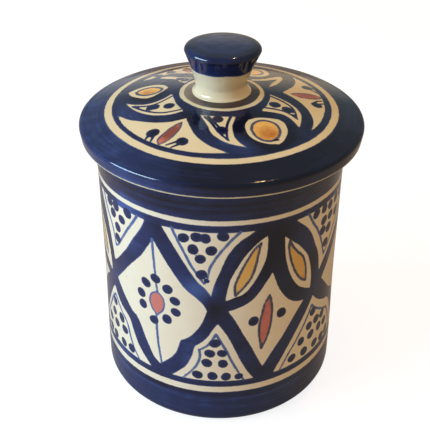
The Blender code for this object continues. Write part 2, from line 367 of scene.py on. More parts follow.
wall.draw(
    by_knot(TURNS[0][0], 1),
    whites=[
        [
            [(51.5, 80), (50, 85), (47.5, 90), (45, 95.5), (42, 100), (38, 104), (34.3, 107.1)],
            [(83, 107.1)],
            [(80, 102), (75, 96), (70, 90), (64, 84), (60, 80.5), (55.5, 76.5), (52.4, 72.8)],
        ],
        [
            [(45, 55), (40, 48.5), (35, 41.5), (31, 35.5), (27.5, 30), (25.8, 27.2)],
            [(79, 27.2)],
            [(75.5, 32), (72.5, 37), (70, 43), (68, 47)],
            [(65, 49.8), (60, 52), (55, 55), (52, 57.5), (49, 60.8)],
        ],
    ],
    lines=[
        [(41.5, 107.4), (45, 101.5), (48, 97.5), (50, 94), (52, 90), (54, 85), (55.5, 80)],
        [(78, 107.4), (76, 104), (71, 98), (66, 92), (61, 86), (57, 81.5), (55.5, 80)],
        [(48.6, 55.5), (45.5, 50), (42, 45), (38, 39.5), (34, 34.5), (29.3, 27)],
        [(48.6, 55.5), (52, 52), (56, 49), (60, 46.5), (65, 44)],
        [(65, 44), (67.5, 39), (70, 33), (72, 27)],
    ],
    dots=[(46.8, 105.3), (53, 105.3), (58.5, 104.5), (65, 105), (71, 104.5), (53.5, 99), (59.5, 99), (66, 98),
          (52.8, 94), (58.5, 93), (56.5, 86), (50, 51), (47.5, 44), (53.5, 44.5), (59.5, 44), (42, 38),
          (49.3, 38), (56.5, 38.3), (62.5, 37.5), (36.5, 31), (44.5, 30.7), (53, 30.5), (60, 29.5), (66, 30)],
)

# Rings drawn while the pot turned on the wheel: deep blue bands over the foot and under the rim, each with a
# white line and a blue line beside it. Inside, the white glaze is left plain.
TOP_BAND, UPPER_LINE, LOWER_LINE, BASE_BAND = 112.7, 110.4, 23.5, 20.2
BLUE_LINE, LINE_OVERLAP = 3.3, 0.8  # the blue line's width, and how far the openings reach into it


def waver(angle, size, start):
    """A slow unevenness round a ring, in mm: three sines of 2, 5 and 9 turns whose shares add up to 1."""
    slow, quick = np.sin(2 * angle + start), np.sin(5 * angle + 3 * start)
    return size * (0.5 * slow + 0.3 * quick + 0.2 * np.sin(9 * angle))


def between(height, low, high):
    """Depth in a ring between two edges: the distance to the nearer edge."""
    return np.minimum(height - low, high - height)


foot_way = pot_way[(pot_radius > foot_centre[0]) & (pot_height < 1)].min()
bands = between(pot_height, LOWER_LINE + BLUE_LINE, UPPER_LINE - BLUE_LINE)
white = np.minimum(wall.depth["white"], bands + LINE_OVERLAP)
for low, high, start in ((BASE_BAND, LOWER_LINE, 0.5), (UPPER_LINE, TOP_BAND, 2)):
    ring = between(pot_height, low + waver(pot_angle, 0.25, start), high + waver(pot_angle, 0.2, start + 1))
    white = np.maximum(white, ring)
white = np.maximum(white, rim_way - pot_way + waver(pot_angle, 0.5, 1))
wheel = 1 - (bands / 2 + 1).clip(0, 1)

# How much paint lies there, from 0 for a thin wash to 1 where it is nearly black. It is thick where strokes
# cross and round the two leaf-shaped openings, and thin where the brush ran dry. A spot is an angle, a
# height, its reach and an amount, and a mark that the wheel left all round has no angle.
MEAN_LOAD = 0.5
SPOTS = [
    (-9, 77, 9, -0.45), (-53, 75, 9, -0.2), (-47, 95, 12, -0.1), (-12, 42, 9, -0.15), (-43, 45, 9, -0.12),
    (-2, 68, 7, 0.4), (-59.5, 66, 7, -0.3), (-50, 24, 9, -0.2), (20.5, 30, 5, 0.15), (-30, 104, 6, 0.1),
    (24, 104, 9, 0.35), (8, 88, 12, 0.2), (23, 92, 10, 0.3), (35, 70, 12, 0.3), (49, 78, 10, 0.25),
    (49, 65, 7, 0.15), (12, 50, 10, 0.1), (34, 45, 9, -0.05), (7, 78, 4, 0.8), (41, 75, 4, 0.7),
    (-29.5, 66, 11, -0.12), (-45, 108.5, 7, -0.5), (-53, 102, 7, -0.15), (-54, 36, 9, -0.12),
]
WHEEL_MARKS = [
    (119, 5, 0.15), (120.4, 0.5, 0.35), (117.0, 0.5, 0.3), (118.7, 0.9, -0.15), (114.6, 0.9, -0.12),
    (18.4, 1.4, 0.18), (15.6, 1.2, -0.2), (9.0, 3.0, -0.06),
]
load = np.full(len(pot_angle), MEAN_LOAD)
for height, reach, amount in WHEEL_MARKS:
    load += amount * np.exp(-((pot_height - height) ** 2) / reach**2)
for turn in range(3):
    for angle, height, reach, amount in SPOTS:
        middle = on_wall(turn)(np.array([(angle, height)], float))
        away = wall.at - middle
        away[:, 0] -= wall.lap * np.round(away[:, 0] / wall.lap)
        load += amount * np.exp(-(away**2).sum(1) / reach**2)


def keep(piece, **values):
    """Stores values at a piece's points, one attribute for each, for its material to read."""
    for name, value in values.items():
        held = piece.data.attributes.new(name, "FLOAT", "POINT")
        held.data.foreach_set("value", np.ascontiguousarray(value, dtype=np.float32))


keep(pot, way=pot_way, cobalt=-white, load=load, wheel=wheel, clay=pot_way - foot_way,
     **{paint: wall.depth[paint] for paint in PAINTS})


# Painted tin glaze on earthenware: white, opaque and glassy, with soft small waves, wheel rings under it, a
# few specks of iron from the clay, and brush marks in the cobalt, which is bright where thin and near-black
# where thick. Dry clay shows where the glaze was wiped off.
SHAKE, CLOUD, MARK_LENGTH, MARK_WIDTH = 2.0, 9, 40, 1.4  # sizes of the noises in mm
SPECK_SPACING, SKIN_WAVE, SKIN_DEPTH = 6, 4, 0.07
RING_SPACING, RING_DEPTH = 5, 0.12
THIN_COBALT = "#3b5698"
COBALT = "#212f60"
THICK_COBALT = "#10122a"
LINE_BLUE = "#5b75a8"
EDGE_BLUE = "#434d6c"
OCHRE = "#dfb86a"
BURNT_OCHRE = "#b0702c"
IRON_RED = "#c87a72"
DARK_IRON_RED = "#804840"
THIN_UMBER = "#857a72"
UMBER = "#3c3639"
BUFF_CLAY = "#c39c78"


def linear(colour):
    """An sRGB hex colour as linear red, green and blue, with an alpha of 1."""
    value = np.array([int(colour[i:i + 2], 16) for i in (1, 3, 5)]) / 255
    return (*np.where(value <= 0.04045, value / 12.92, ((value + 0.055) / 1.055) ** 2.4).tolist(), 1.0)


def add(tree, kind, inputs=(), **settings):
    """Adds a node with its settings. A socket among its inputs is linked, and any other value is set."""
    node = tree.nodes.new("ShaderNode" + kind)
    for name, value in settings.items():
        setattr(node, name, value)
    for name, value in dict(inputs).items():
        if isinstance(value, bpy.types.NodeSocket):
            tree.links.new(value, node.inputs[name])
        else:
            node.inputs[name].default_value = value
    return node


def lay(tree, under, paint, depth, soft):
    """Lays one paint over another: none at a depth of -soft mm and all of it at +soft, eased between."""
    cover = add(tree, "MapRange", {"Value": depth, "From Min": -soft, "From Max": soft},
                interpolation_type="SMOOTHSTEP").outputs[0]
    return add(tree, "Mix", {0: cover, 6: under, 7: paint}, data_type="RGBA").outputs[2], cover


def painted_glaze(name, white, warm_white):
    """The tin glaze, from its white to a warmer one, with its paints, read from a piece's attributes."""
    material = bpy.data.materials.new(name)
    material.use_nodes = True
    tree = material.node_tree
    shader = tree.nodes["Principled BSDF"]
    place = add(tree, "TexCoord").outputs["Object"]
    kept = {each: add(tree, "Attribute", attribute_name=each).outputs["Fac"]
            for each in ("way", "cobalt", "load", "wheel", "clay", *PAINTS)}

    # Noises: the brush's shaking hand, clouds in the glaze, and marks that run round with the wheel, long
    # along the ring and narrow across it. The way along the profile is in mm already.
    shake = add(tree, "TexNoise", {"Vector": place, "Scale": 1 / (SHAKE * MM), "Detail": 2.0}).outputs[0]
    cloud = add(tree, "TexNoise", {"Vector": place, "Scale": 1 / (CLOUD * MM), "Detail": 3.0}).outputs[0]
    split = add(tree, "SeparateXYZ", {0: place})
    ring = add(tree, "CombineXYZ", {0: split.outputs[0], 1: split.outputs[1], 2: kept["way"]}).outputs[0]
    stretch = (1 / (MARK_LENGTH * MM), 1 / (MARK_LENGTH * MM), 1 / MARK_WIDTH)
    ring = add(tree, "VectorMath", {0: ring, 1: stretch}, operation="MULTIPLY").outputs[0]
    ring_marks = add(tree, "TexNoise", {"Vector": ring, "Scale": 1.0, "Detail": 3.0, "Roughness": 0.6})

    def shaken(depth, amount=0.4):
        """A depth with the hand's shake added, in mm."""
        less = add(tree, "Math", {0: shake, 1: amount, 2: -amount / 2}, operation="MULTIPLY_ADD").outputs[0]
        return add(tree, "Math", {0: less, 1: depth}, operation="ADD").outputs[0]

    # White glaze, warmer where it lies thin, with a speck of iron every few millimetres
    colour = add(tree, "Mix", {0: cloud, 6: linear(white), 7: linear(warm_white)}, data_type="RGBA")
    colour = colour.outputs[2]
    iron = add(tree, "TexVoronoi", {"Vector": place, "Scale": 1 / (SPECK_SPACING * MM)})
    speck = add(tree, "MapRange", {"Value": iron.outputs["Distance"], "From Min": 0.05, "From Max": 0.02,
                                   "To Max": 0.5}).outputs[0]
    colour = add(tree, "Mix", {0: speck, 6: colour, 7: linear(EDGE_BLUE)}, data_type="RGBA").outputs[2]

    # Broad cobalt: its thickness is the given load, with brush marks, clouds and a thin edge
    # On the lid and knob the load also holds painted light and shade: thin on the window's side, thick in
    # shade
    marks = add(tree, "Math", {0: ring_marks.outputs[0], 1: -0.5}, operation="ADD").outputs[0]
    reach = add(tree, "Math", {0: kept["wheel"], 1: 0.4, 2: 0.25}, operation="MULTIPLY_ADD").outputs[0]
    marks = add(tree, "Math", {0: marks, 1: reach, 2: kept["load"]}, operation="MULTIPLY_ADD").outputs[0]
    clouds = add(tree, "Math", {0: cloud, 1: 0.5, 2: -0.25}, operation="MULTIPLY_ADD").outputs[0]
    thick = add(tree, "Math", {0: marks, 1: clouds}, operation="ADD").outputs[0]
    rim = add(tree, "MapRange", {"Value": kept["cobalt"], "From Min": 0.0, "From Max": 0.8, "To Min": -0.22,
                                 "To Max": 0.0}).outputs[0]
    thick = add(tree, "Math", {0: thick, 1: rim}, operation="ADD").outputs[0]
    wash = add(tree, "ValToRGB", {0: thick})
    stops = wash.color_ramp.elements
    stops[0].position, stops[0].color = 0.05, linear(THIN_COBALT)
    stops[1].position, stops[1].color = 0.85, linear(THICK_COBALT)
    middle = stops.new(0.42)
    middle.color = linear(COBALT)
    colour, _ = lay(tree, colour, wash.outputs[0], shaken(kept["cobalt"]), 0.2)

    # Thin lines, then the leaves with their edges, then the dots on top
    pale = add(tree, "Mix", {0: cloud, 6: linear(LINE_BLUE), 7: linear(THIN_COBALT)}, data_type="RGBA")
    colour, _ = lay(tree, colour, pale.outputs[2], shaken(kept["line"], 0.5), 0.22)
    mottled = add(tree, "Math", {0: shake, 1: 0.5, 2: thick}, operation="MULTIPLY_ADD").outputs[0]
    leaf = add(tree, "MapRange", {"Value": mottled, "From Min": 1.3, "From Max": 2.0}).outputs[0]
    ochre = add(tree, "Mix", {0: leaf, 6: linear(OCHRE), 7: linear(BURNT_OCHRE)}, data_type="RGBA").outputs[2]
    colour, _ = lay(tree, colour, ochre, shaken(kept["ochre"]), 0.2)
    leaf = add(tree, "MapRange", {"Value": mottled, "From Min": 0.55, "From Max": 1.05}).outputs[0]
    red = add(tree, "Mix", {0: leaf, 6: linear(IRON_RED), 7: linear(DARK_IRON_RED)}, data_type="RGBA")
    colour, _ = lay(tree, colour, red.outputs[2], shaken(kept["red"]), 0.2)
    colour, _ = lay(tree, colour, linear(EDGE_BLUE), shaken(kept["edge"], 0.5), 0.22)
    tip = add(tree, "Math", {0: kept["dark"], 1: 0.15, 2: thick}, operation="MULTIPLY_ADD").outputs[0]
    tip = add(tree, "MapRange", {"Value": tip, "From Min": 0.35, "From Max": 0.75}).outputs[0]
    dots = add(tree, "Mix", {0: tip, 6: linear(COBALT), 7: linear(THICK_COBALT)}, data_type="RGBA").outputs[2]
    colour, _ = lay(tree, colour, dots, shaken(kept["dark"], 0.25), 0.2)
    brown = add(tree, "MapRange", {"Value": thick, "From Min": 0.35, "From Max": 0.75}).outputs[0]
    brown = add(tree, "Mix", {0: brown, 6: linear(THIN_UMBER), 7: linear(UMBER)}, data_type="RGBA").outputs[2]
    colour, _ = lay(tree, colour, brown, shaken(kept["umber"]), 0.25)
    colour, bare = lay(tree, colour, linear(BUFF_CLAY), shaken(kept["clay"], 0.6), 0.2)
    tree.links.new(colour, shader.inputs["Base Color"])

    # Glassy glaze with slightly duller clouds, and rough clay
    gloss = add(tree, "MapRange", {"Value": cloud, "To Min": 0.06, "To Max": 0.13}).outputs[0]
    rough = add(tree, "Mix", {0: bare, 2: gloss, 3: 0.9}, data_type="FLOAT").outputs[0]
    tree.links.new(rough, shader.inputs["Roughness"])
    shader.inputs["IOR"].default_value = 1.5
    shader.inputs["Specular IOR Level"].default_value = 0.5

    # The glaze's skin waves over a few mm, and the thrower's fingers left low rings under it
    skin = add(tree, "TexNoise", {"Vector": place, "Scale": 1 / (SKIN_WAVE * MM), "Detail": 2.0}).outputs[0]
    stretch = (0.5, 0.5, MARK_WIDTH / RING_SPACING)
    fingers = add(tree, "VectorMath", {0: ring, 1: stretch}, operation="MULTIPLY")
    fingers = add(tree, "TexNoise", {"Vector": fingers.outputs[0], "Scale": 1.0, "Detail": 1.0}).outputs[0]
    relief = add(tree, "Bump", {"Height": fingers, "Distance": RING_DEPTH * MM, "Strength": 1.0}).outputs[0]
    relief = add(tree, "Bump", {"Height": skin, "Distance": SKIN_DEPTH * MM, "Strength": 1.0,
                                "Normal": relief}).outputs[0]
    tree.links.new(relief, shader.inputs["Normal"])
    return material


pot.data.materials.append(painted_glaze("painted_tin_glaze_pot", "#ece9dc", "#e4dfcc"))
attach(pot, "pot")
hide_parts("pot")

# The lid: a thrown plate that overhangs the rim, rounded over at its edge, with a flange under it that keeps
# it on the mouth. It is glazed and painted as the pot is, and the seat that rests on the rim was wiped dry.
# It is loose on the mouth and lies a little to the right.
LID_COLUMNS = 512
LID_ASIDE = 0.45
SEAT = 126.8
LID_RADIUS = 61.9
EDGE_WIDEST, EDGE_TUCK, EDGE_BREAK = 4.7, 0.6, 0.6
ROLL = 1.9
ROLL_CENTRE = LID_RADIUS - ROLL
KNOB_FOOT = 12.7
CONE_RISE, BOW_RISE = 7.1, 3.3
TOP_RUN = ROLL_CENTRE - KNOB_FOOT
ROLL_START = 90 - math.degrees(math.atan2(CONE_RISE + 2 * BOW_RISE, TOP_RUN))
CROWN = EDGE_WIDEST + ROLL * math.sin(math.radians(ROLL_START)) + CONE_RISE + BOW_RISE
PLATE = 6.5
FLANGE_RADIUS, FLANGE_BORE, FLANGE_DEPTH, FLANGE_TIP, FLANGE_FILLET = 47.5, 43.0, 11.0, 2.0, 1.5


def lid_top(start, end, drop, steps):
    """The lid's top between two radii, less a drop: a cone and a bow, the bow as the square of the share."""
    radius = np.linspace(start, end, steps + 1)[1:-1]
    share = (radius - KNOB_FOOT) / TOP_RUN
    return np.stack([radius, CROWN - CONE_RISE * share - BOW_RISE * share**2 - drop], 1)


hollow_edge = FLANGE_BORE - FLANGE_FILLET
hollow_height = float(lid_top(hollow_edge - 1, hollow_edge + 1, PLATE, 2)[0, 1]) - FLANGE_FILLET
widest = (LID_RADIUS, EDGE_WIDEST)
lower_edge = LID_RADIUS - EDGE_TUCK
lid_profile = np.vstack([
    straight((0, CROWN), (KNOB_FOOT, CROWN), 5),
    [(KNOB_FOOT, CROWN)],
    lid_top(KNOB_FOOT, ROLL_CENTRE, 0, 62),
    arc((ROLL_CENTRE, EDGE_WIDEST), ROLL, ROLL, ROLL_START, 0, 9),
    straight(widest, (lower_edge, EDGE_BREAK), 6),
    arc((lower_edge - EDGE_BREAK, EDGE_BREAK), EDGE_BREAK, EDGE_BREAK, 0, -90, 4),
    straight((lower_edge - EDGE_BREAK, 0), (FLANGE_RADIUS, 0), 8),
    straight((FLANGE_RADIUS, 0.01), (FLANGE_RADIUS, FLANGE_TIP - FLANGE_DEPTH), 5),
    arc((FLANGE_RADIUS - FLANGE_TIP, FLANGE_TIP - FLANGE_DEPTH), FLANGE_TIP, FLANGE_TIP, 0, -90, 5),
    arc((FLANGE_BORE + FLANGE_TIP, FLANGE_TIP - FLANGE_DEPTH), FLANGE_TIP, FLANGE_TIP, -90, -180, 5),
    straight((FLANGE_BORE, FLANGE_TIP - FLANGE_DEPTH), (FLANGE_BORE, hollow_height), 7),
    arc((hollow_edge, hollow_height), FLANGE_FILLET, FLANGE_FILLET, 0, 90, 4),
    lid_top(hollow_edge, KNOB_FOOT, PLATE, 8),
    straight((KNOB_FOOT, CROWN - PLATE), (0, CROWN - PLATE), 3),
]) + (0, SEAT)
lid, (lid_angle, lid_radius, lid_height, lid_way) = turned(
    "painted_lid", lid_profile, LID_COLUMNS, SEAT + CROWN, SEAT + CROWN - PLATE, LID_ASIDE)
lower_way = lid_way[(lid_radius > lower_edge - 0.5) & (lid_height < SEAT + 0.9)].min()
on_top = lid_way < lower_way

# The lid's painting, with X to the right and Y to the back, in mm from the middle. Three times round there is
# a three-sided opening with a red leaf between two crescents, one of which is only a thin hook, and between
# these groups a round ochre eye.
top_at = np.stack([LID_ASIDE + lid_radius * np.sin(lid_angle), -lid_radius * np.cos(lid_angle)], 1)
top_at = np.where(on_top[:, None], top_at, 500)
top = Painting(top_at, 1e6)
RIGHT_FIELD = dict(
    whites=[[
        [(31.5, 0), (34.5, -4), (37, -9), (38.3, -15), (38.2, -20), (36.5, -26)],
        [(41.3, -17.5), (44.2, -7.5), (44.9, 0), (44.4, 7), (42.8, 14), (39.8, 21), (33.5, 30)],
        [(34.3, 25), (34, 20), (32.5, 14), (30, 9), (27, 4)],
    ]],
    dots=[(38.8, 16, 2.3), (41.3, -2.6, 2.4)],
    stems=[[(38.8, 16), (41, 13.8), (43.8, 10.8)], [(39.5, 17.4), (42, 16), (43.6, 13.4)],
           [(40.3, -1), (42, 1.5), (44.4, 3.2)], [(41.5, -2), (43.6, -0.4), (44.8, 0.4)]],
    leaves=[("red", "edge", 0.38, [
        [(34, 6.4), (38.5, 8), (42, 8), (44.5, 6.8)],
        [(42.5, 4.2), (38.5, 2.4), (34, 2.2), (30.8, 4)],
    ])],
)
RIGHT_CRESCENT = dict(
    whites=[[
        [(25, -3), (29, -6), (32, -10), (33.3, -14), (33.2, -19), (31.9, -24.6)],
        [(30.3, -21.5), (28.5, -18.8), (25.5, -16.6), (21, -16.2), (16.7, -16.2)],
        [(19, -12), (20.8, -6), (21.2, -0.7)],
    ]],
    stems=[[(18.5, -13.4), (24, -13.6), (28, -15), (31.6, -18.6)],
           [(21.4, -2.6), (26, -5.5), (29.5, -9), (31, -13), (31.4, -18.5)]],
    dots=[(22.8, -9.7, 2.3), (28, -12.3, 2.4), (30.4, -16, 0.8)],
)
RIGHT_HOOK = dict(
    whites=[[
        [(14, 15.2), (17, 16.5), (20.1, 18.8), (24.1, 23.2), (27.6, 26.7)],
        [(28.3, 23), (27, 17.9), (24.7, 12.3), (21, 7)],
        [(22.9, 13.4), (24.9, 17.9), (25.7, 20.8)],
        [(23.7, 19.2), (19.7, 15.8), (13.8, 13.3)],
    ]],
)
BACK_FIELD = dict(
    whites=[[
        [(-33.1, 24.6), (-30.7, 25.7), (-28, 27.6), (-25, 28.8), (-22.4, 29.4), (-19, 28.2), (-15, 26.3),
         (-11.8, 24.8)],
        [(-9.6, 29.6), (-7.5, 33.9), (-3.5, 37.9), (1.7, 41.1), (6.4, 42.6), (12.7, 43)],
        [(3.1, 44.7), (-7.3, 44.2), (-14.6, 42.2), (-19, 39), (-23.4, 35.9), (-27.7, 32.8), (-31, 29.6),
         (-35.8, 24.4)],
    ]],
    stems=[[(-23.6, 32.2), (-24.6, 34.6), (-25.4, 36.8)], [(-22.6, 33), (-23, 35.4), (-23.2, 38)],
           [(-29.4, 28.6), (-31, 29.8), (-32.4, 31.4)], [(-28.6, 29.6), (-30, 31.4), (-31, 33)]],
    dots=[(-23, 32, 2.4), (-28.6, 28.8, 2.1)],
    leaves=[("red", "edge", 0.38, [
        [(-17.6, 33.5), (-17.1, 36.8), (-16.2, 39.8)],
        [(-14.4, 36), (-13.4, 32), (-13.7, 28.6), (-15.7, 30)],
    ])],
)
BACK_CRESCENT = dict(
    whites=[[
        [(-26.2, 24.8), (-23.6, 24.2), (-21, 22.4), (-17.4, 19.6), (-12.2, 17.3)],
        [(-13.6, 14.2), (-16, 10.4)],
        [(-18.3, 14.2), (-20.2, 17.8), (-22.3, 19.6), (-24.7, 21), (-27.8, 23.7)],
    ]],
    stems=[[(-13.4, 15.8), (-16.6, 17.8), (-19.6, 19.6)]],
    dots=[(-18.4, 17.4, 1.7), (-15.8, 14.6, 1.8)],
)
LEFT_FIELD = dict(
    whites=[[
        [(-38.5, -16.8), (-33, -20), (-27, -22.6), (-20.5, -23.5), (-14.2, -22.3)],
        [(-12.5, -28), (-10, -34), (-5.5, -39.5), (-1, -42.5), (3, -44.6)],
        [(-10, -43.8), (-22, -39.2), (-32, -31.5), (-39.5, -21.4), (-43.7, -11.3)],
    ]],
    dots=[(-27.3, -29.5, 2.6), (-15.3, -36.8, 2.3)],
    stems=[[(-28.9, -30.5), (-30.6, -34)], [(-26.6, -31), (-28, -34.8)],
           [(-17, -36.6), (-21.6, -38.2)], [(-16, -38.2), (-19.6, -39.9)]],
    leaves=[("red", "edge", 0.38, [
        [(-16.4, -28.4), (-18.3, -32.1), (-21.3, -35.7), (-24.6, -37.5)],
        [(-25.1, -34.4), (-22.2, -29.9), (-18.9, -26.4), (-15.8, -24.6)],
    ])],
)
LEFT_CRESCENT = dict(
    whites=[[
        [(-38.5, -6.5), (-35, -11.5), (-30, -15.7), (-25, -17.6), (-20, -17.9), (-15.5, -16.6)],
        [(-18.5, -10.5), (-20, -5), (-20.9, -0.4)],
        [(-25, -4.3), (-29, -6.2), (-33, -6.2), (-37.5, -4.2), (-41, -1.5)],
    ]],
    stems=[[(-37.6, -6), (-33, -11), (-28, -14.5), (-23, -16), (-16.5, -15.3)],
           [(-37.6, -6), (-32, -8), (-28, -7.8), (-24, -5.5), (-20.6, -2.4)]],
    dots=[(-29.5, -10, 2.0), (-27.6, -10.1, 2.0), (-21.8, -11, 2.4), (-35.5, -8, 0.9)],
)
FRONT_CRESCENT = dict(
    whites=[[
        [(-3, -21.8), (2, -22.2), (6, -22)],
        [(4.7, -27), (4.5, -31), (5.5, -35.5), (7.5, -38.5), (9.8, -40.8)],
        [(4, -39.3), (0, -37), (-3.7, -33), (-5.5, -27.5), (-8.5, -20.8)],
    ]],
    stems=[[(-6.6, -22), (-4, -26), (-1, -32), (1.5, -35.5), (3, -37.2)],
           [(-5.2, -22), (-2.4, -26.4), (0.4, -31)],
           [(4, -22), (2.6, -27), (2.2, -32), (2.6, -37)]],
    dots=[(-1.3, -23.8, 2.2), (0.4, -31, 2.4)],
)
FRONT_EYE = dict(
    whites=[[
        [(14.5, -21.8), (19, -21), (23.5, -21)],
        [(25.8, -23), (26.9, -27.5), (26.2, -31.5), (24.5, -35.5), (22.8, -37.4)],
        [(18, -37.8), (13.5, -36.2), (10.8, -33), (9.8, -29.5), (10, -26), (11.3, -23.5)],
    ]],
    leaves=[("ochre", "edge", 0.6, [
        [(13, -26), (16.6, -23.2), (21.3, -23.9), (23.6, -27.5), (23.3, -32), (21, -35.3), (17.6, -36.2),
         (14, -34.2), (12.2, -30)],
    ])],
    stems=[[(21, -35.3), (23, -34.6)]],
)
LEFT_EYE = dict(
    whites=[[
        [(-38, 12.5), (-34, 14.2), (-29, 14), (-25, 11.5), (-23, 7.4)],
        [(-26, 3.5), (-29, 0.5), (-32, -0.3), (-36, 2), (-39.5, 6), (-41, 10)],
    ]],
    leaves=[("ochre", "edge", 0.7, [
        [(-34.5, 11), (-30, 11.2), (-26.4, 8.6), (-25.9, 6), (-28.5, 3.4), (-32.5, 3), (-36, 5.4),
         (-37.3, 8.6)],
    ])],
)


def spun(turn):
    """Turns a group about the lid's middle: each point, as a complex number, times e to the i turn."""
    def place(points):
        across = (points[:, 0] + 1j * points[:, 1]) * np.exp(1j * math.radians(turn))
        return np.stack([across.real, across.imag], 1)
    return place


for group, turn in (
    (LEFT_FIELD, 0), (LEFT_CRESCENT, 0), (FRONT_CRESCENT, 0), (FRONT_EYE, 0), (LEFT_EYE, 0), (RIGHT_FIELD, 0),
    (RIGHT_CRESCENT, 0), (RIGHT_HOOK, 0), (BACK_FIELD, 0), (RIGHT_CRESCENT, 114), (BACK_CRESCENT, 0),
    (LEFT_EYE, -105),
):
    top.draw(spun(turn), **group)

# Rings on the lid, from the outside in: a deep blue rim, white, blue, the pattern, blue, white, and a dark
# ring of pooled glaze round the knob. The inner rings bulge a little at the front right. Under the lid the
# glaze is plain, and a hair of that white shows along the lower edge.
RIM_RING, WHITE_RING, PATTERN_EDGE, INNER_RING, KNOB_RING = 50.6, 47.6, 45.4, 18.1, 16.2
BULGE, BULGE_OUT, BULGE_MIDDLE, BULGE_REACH = 0.5, 20, 0.4, 0.7  # two lengths, an angle and its reach
WHITE_HAIR = 0.2
from_centre = np.where(on_top, lid_radius, 500)
lid_white = np.minimum(top.depth["white"], PATTERN_EDGE - from_centre)
bulge = BULGE * np.exp(-(((lid_angle - BULGE_MIDDLE) / BULGE_REACH) ** 2)) * (lid_radius < BULGE_OUT)
for low, high, start in ((WHITE_RING, RIM_RING, 1), (KNOB_RING, INNER_RING, 3)):
    low, high = low + waver(lid_angle, 0.2, start), high + waver(lid_angle, 0.25, start + 2)
    lid_white = np.maximum(lid_white, between(from_centre - bulge, low, high))
lid_white = np.maximum(lid_white, lid_way - lower_way + WHITE_HAIR + waver(lid_angle, 0.12, 2))

# How much paint lies on the lid, with spots of x, y, reach and amount. On the rim the load also holds painted
# light and shade: thick in front, as painted shade, and thin at the left, as painted window light, and a
# fifth less under the widest line, as a painted pale reflection of the floor on the rim's lower side.
lid_load_and_light = np.full(len(lid_angle), 0.62)
for x, y, reach, amount in (
    (-41, -8, 6, -0.25), (-36, -17, 6, -0.2), (-9, -28, 6, 0.15), (8.5, -30, 6, 0.35), (10, -42, 8, -0.15),
    (-15, -20, 5, 0.15), (14, -20, 6, 0.2), (35, -18, 6, 0.1), (19.5, -31.5, 7, 1.3), (-20, -31, 5, 0.6),
    (39, 5, 6, 0.3), (-32, 5.5, 6, 1.1), (3, -38, 7, -0.15), (-15.5, 34, 4, 0.35),
):
    lid_load_and_light += amount * np.exp(-((top_at - (x, y)) ** 2).sum(1) / reach**2)
# Painted light and shade round the rim, and a painted reflection of the floor below its widest line
rim_load_and_light = np.interp(np.degrees(lid_angle), (-180, -110, -75, -45, -25, 0, 25, 45, 75, 130, 180),
                     (0.5, 0.45, 0.42, 0.38, 0.5, 0.95, 0.95, 0.85, 0.75, 0.6, 0.5))
rim_load_and_light *= np.where(lid_height < SEAT + EDGE_WIDEST, 0.8, 1)
lid_load_and_light = np.where(lid_radius > RIM_RING, rim_load_and_light, lid_load_and_light)
# Round the knob the load is thin at the left and back and thick at the front and right, so the dark ring is
# painted lighter on the window's side and darker where it is in shade: painted light and shade.
lid_load_and_light = np.where(lid_radius < KNOB_RING + 1, 0.75 + 0.45 * np.sin(lid_angle + 0.5), lid_load_and_light)
top.depth["umber"] = np.where(on_top, KNOB_RING - 0.1 - lid_radius + bulge, -FAR) + waver(lid_angle, 0.3, 4)
lid_wheel = 0.3 + 0.4 * ((lid_radius - 45) / 2).clip(0, 1)
seat_dry = between(lid_radius, FLANGE_RADIUS + 1, 58.5)
seat_dry = np.where((lid_height < SEAT + 0.1) & ~on_top & (lid_height > SEAT - 0.3), seat_dry, -FAR)
keep(lid, way=lid_way, cobalt=-lid_white, load=lid_load_and_light, wheel=lid_wheel, clay=seat_dry,
     **{paint: top.depth[paint] for paint in PAINTS})
lid.data.materials.append(painted_glaze("painted_tin_glaze_lid", "#d8d5bc", "#cdc8aa"))
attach(lid, "lid")
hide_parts("lid")

# The knob: thrown by itself with a drawn-in waist and a flat top, and stuck to the lid with slip before the
# first firing. Its top was dipped in the blue, which stops in a brushed edge over the white stem.
KNOB_COLUMNS = 192
KNOB_SEAT = SEAT + CROWN
KNOB_WAIST, KNOB_WAIST_HEIGHT = 11.0, 3.8
KNOB_RADIUS = 16.3
KNOB_FLARE, KNOB_BEND = 14.6, 1.2
KNOB_EDGE = 2.0
KNOB_CROWN = 0.5
KNOB_GAP, SLIP = 0.3, 0.03
KNOB_LEAN = (0.4, 0.1, 0.8)  # how far the foot, the waist and the top lie to the right
knob_widest = KNOB_WAIST_HEIGHT + KNOB_FLARE
knob_top = knob_widest + KNOB_EDGE
top_radius = KNOB_RADIUS - KNOB_EDGE
dome = np.linspace(0, top_radius, 13)[1:-1]
flare = np.linspace(1, 0, 41)[1:-1]
flare_radius = KNOB_WAIST + (KNOB_RADIUS - KNOB_WAIST) * flare**KNOB_BEND
knob_profile = np.vstack([
    np.stack([dome, knob_top + KNOB_CROWN * (1 - (dome / top_radius) ** 2)], 1),
    arc((top_radius, knob_widest), KNOB_EDGE, KNOB_EDGE, 90, 0, 9),
    np.stack([flare_radius, KNOB_WAIST_HEIGHT + KNOB_FLARE * flare], 1),
    arc((KNOB_FOOT, KNOB_WAIST_HEIGHT), KNOB_FOOT - KNOB_WAIST, KNOB_WAIST_HEIGHT - 0.2, 180, 270, 10),
    [(KNOB_FOOT + 0.02, -KNOB_GAP + SLIP)],
    straight((KNOB_FOOT, -KNOB_GAP + SLIP), (0, -KNOB_GAP + SLIP), 4),
])
knob_aside = np.interp(knob_profile[:, 1], (0, KNOB_WAIST_HEIGHT, knob_widest), KNOB_LEAN)
knob_profile += (0, KNOB_SEAT + KNOB_GAP)
knob, (knob_angle, knob_radius, knob_height, knob_way) = turned(
    "painted_knob", knob_profile, KNOB_COLUMNS, KNOB_SEAT + KNOB_GAP + knob_top + KNOB_CROWN,
    KNOB_SEAT + SLIP, knob_aside)
